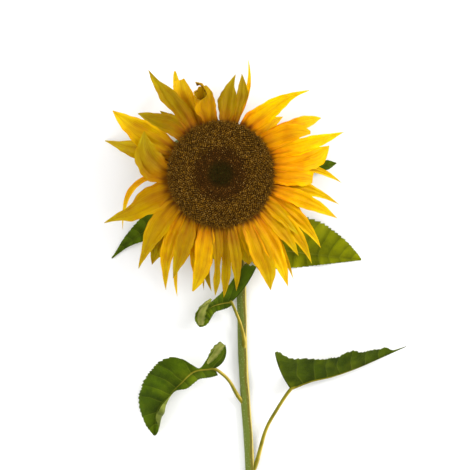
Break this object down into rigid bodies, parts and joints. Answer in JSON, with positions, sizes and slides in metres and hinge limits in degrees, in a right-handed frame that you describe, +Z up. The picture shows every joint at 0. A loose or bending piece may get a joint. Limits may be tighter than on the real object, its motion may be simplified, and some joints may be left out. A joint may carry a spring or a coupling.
{
  "type": "sunflower",
  "caption": "Cut sunflower lying face up: domed dark disc, ring of yellow ray petals, leafy bracts, bent neck, long stem and toothed leaves on stalks.",
  "frame": {"origin": "on the surface it lies on, under the middle of the whole flower's box", "axes": "+Y from the cut end of the stem towards the head, +Z up from the surface, the way the face of the flower looks"},
  "size_m": [0.312, 0.4512, 0.0753],
  "materials": {
    "stem": "matt ribbed green stem with fine pale hairs",
    "leaf": "rough dark green leaf with paler veins and a paler underside",
    "bract": "matt mid green",
    "petal": "thin satin yellow petal, orange and brown towards its root",
    "floret": "dark brown florets tipped with golden pollen"
  },
  "bodies": {
    "root": {"stem": "stem", "leaf_lower_left": "leaf", "leaf_lower_right": "leaf", "leaf_middle": "leaf", "leaf_upper_right": "leaf", "leaf_upper_left": "leaf", "leaf_top_right": "leaf", "head_base": "bract", "ray_petals": "petal", "disc_florets": "floret"}
  },
  "joints": []
}
